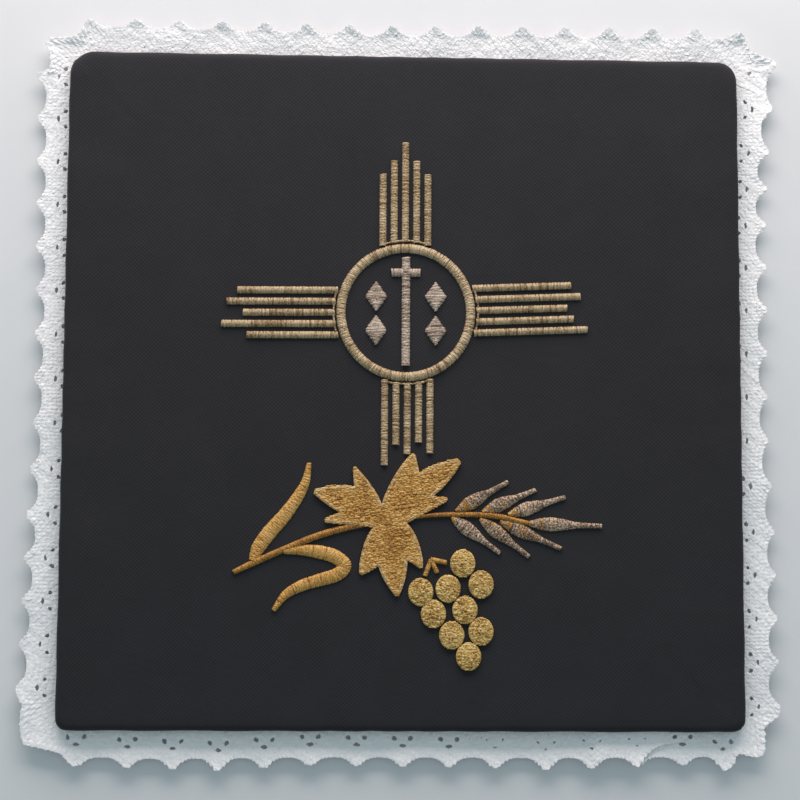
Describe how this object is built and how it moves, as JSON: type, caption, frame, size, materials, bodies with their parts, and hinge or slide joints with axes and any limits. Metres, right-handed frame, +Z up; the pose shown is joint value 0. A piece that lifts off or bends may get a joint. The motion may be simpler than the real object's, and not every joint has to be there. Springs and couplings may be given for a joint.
{
  "type": "chalice pall",
  "caption": "Stiff square cover of black twill with a scalloped white lace edging, embroidered with a cross, vine, wheat and grapes, laid over a cup at an altar",
  "frame": {"origin": "middle of the flat underside of the board, on the surface it lies on", "axes": "+Z up out of the embroidered face, +Y towards the top of the design, +X to its right, right-handed"},
  "size_m": [0.1686, 0.1667, 0.0047],
  "materials": {
    "black_twill": "matte twill weave",
    "white_lace": "matte cotton bobbin lace",
    "old_gold_thread": "dull metallic thread, satin stitch",
    "pale_thread": "pale metallic thread, satin stitch",
    "leaf_gold_thread": "warm metallic thread, fill stitch",
    "grape_gold_thread": "yellow metallic thread, fill stitch"
  },
  "bodies": {
    "root": {"covered_board": "black_twill", "grape_1_1": "grape_gold_thread", "grape_2_1": "grape_gold_thread", "grape_2_2": "grape_gold_thread", "grape_2_3": "grape_gold_thread", "grape_3_1": "grape_gold_thread", "grape_3_2": "grape_gold_thread", "grape_4_1": "grape_gold_thread", "grape_4_2": "grape_gold_thread", "grape_5_1": "grape_gold_thread", "grape_stalk": "leaf_gold_thread", "inner_cross": "pale_thread", "lace_edging": "white_lace", "lozenge_bottom_left": "pale_thread", "lozenge_bottom_right": "pale_thread", "lozenge_top_left": "pale_thread", "lozenge_top_right": "pale_thread", "ray_down_1": "old_gold_thread", "ray_down_2": "old_gold_thread", "ray_down_3": "old_gold_thread", "ray_down_4": "old_gold_thread", "ray_down_5": "old_gold_thread", "ray_left_1": "old_gold_thread", "ray_left_2": "old_gold_thread", "ray_left_3": "old_gold_thread", "ray_left_4": "old_gold_thread", "ray_left_5": "old_gold_thread", "ray_right_1": "old_gold_thread", "ray_right_2": "old_gold_thread", "ray_right_3": "old_gold_thread", "ray_right_4": "old_gold_thread", "ray_right_5": "old_gold_thread", "ray_up_1": "old_gold_thread", "ray_up_2": "old_gold_thread", "ray_up_3": "old_gold_thread", "ray_up_4": "old_gold_thread", "ray_up_5": "old_gold_thread", "ring": "old_gold_thread", "vine_spray": "leaf_gold_thread", "wheat_grain_bottom_1": "pale_thread", "wheat_grain_bottom_2": "pale_thread", "wheat_grain_bottom_3": "pale_thread", "wheat_grain_end": "pale_thread", "wheat_grain_top_1": "pale_thread", "wheat_grain_top_2": "pale_thread", "wheat_grain_top_3": "pale_thread"}
  },
  "joints": []
}
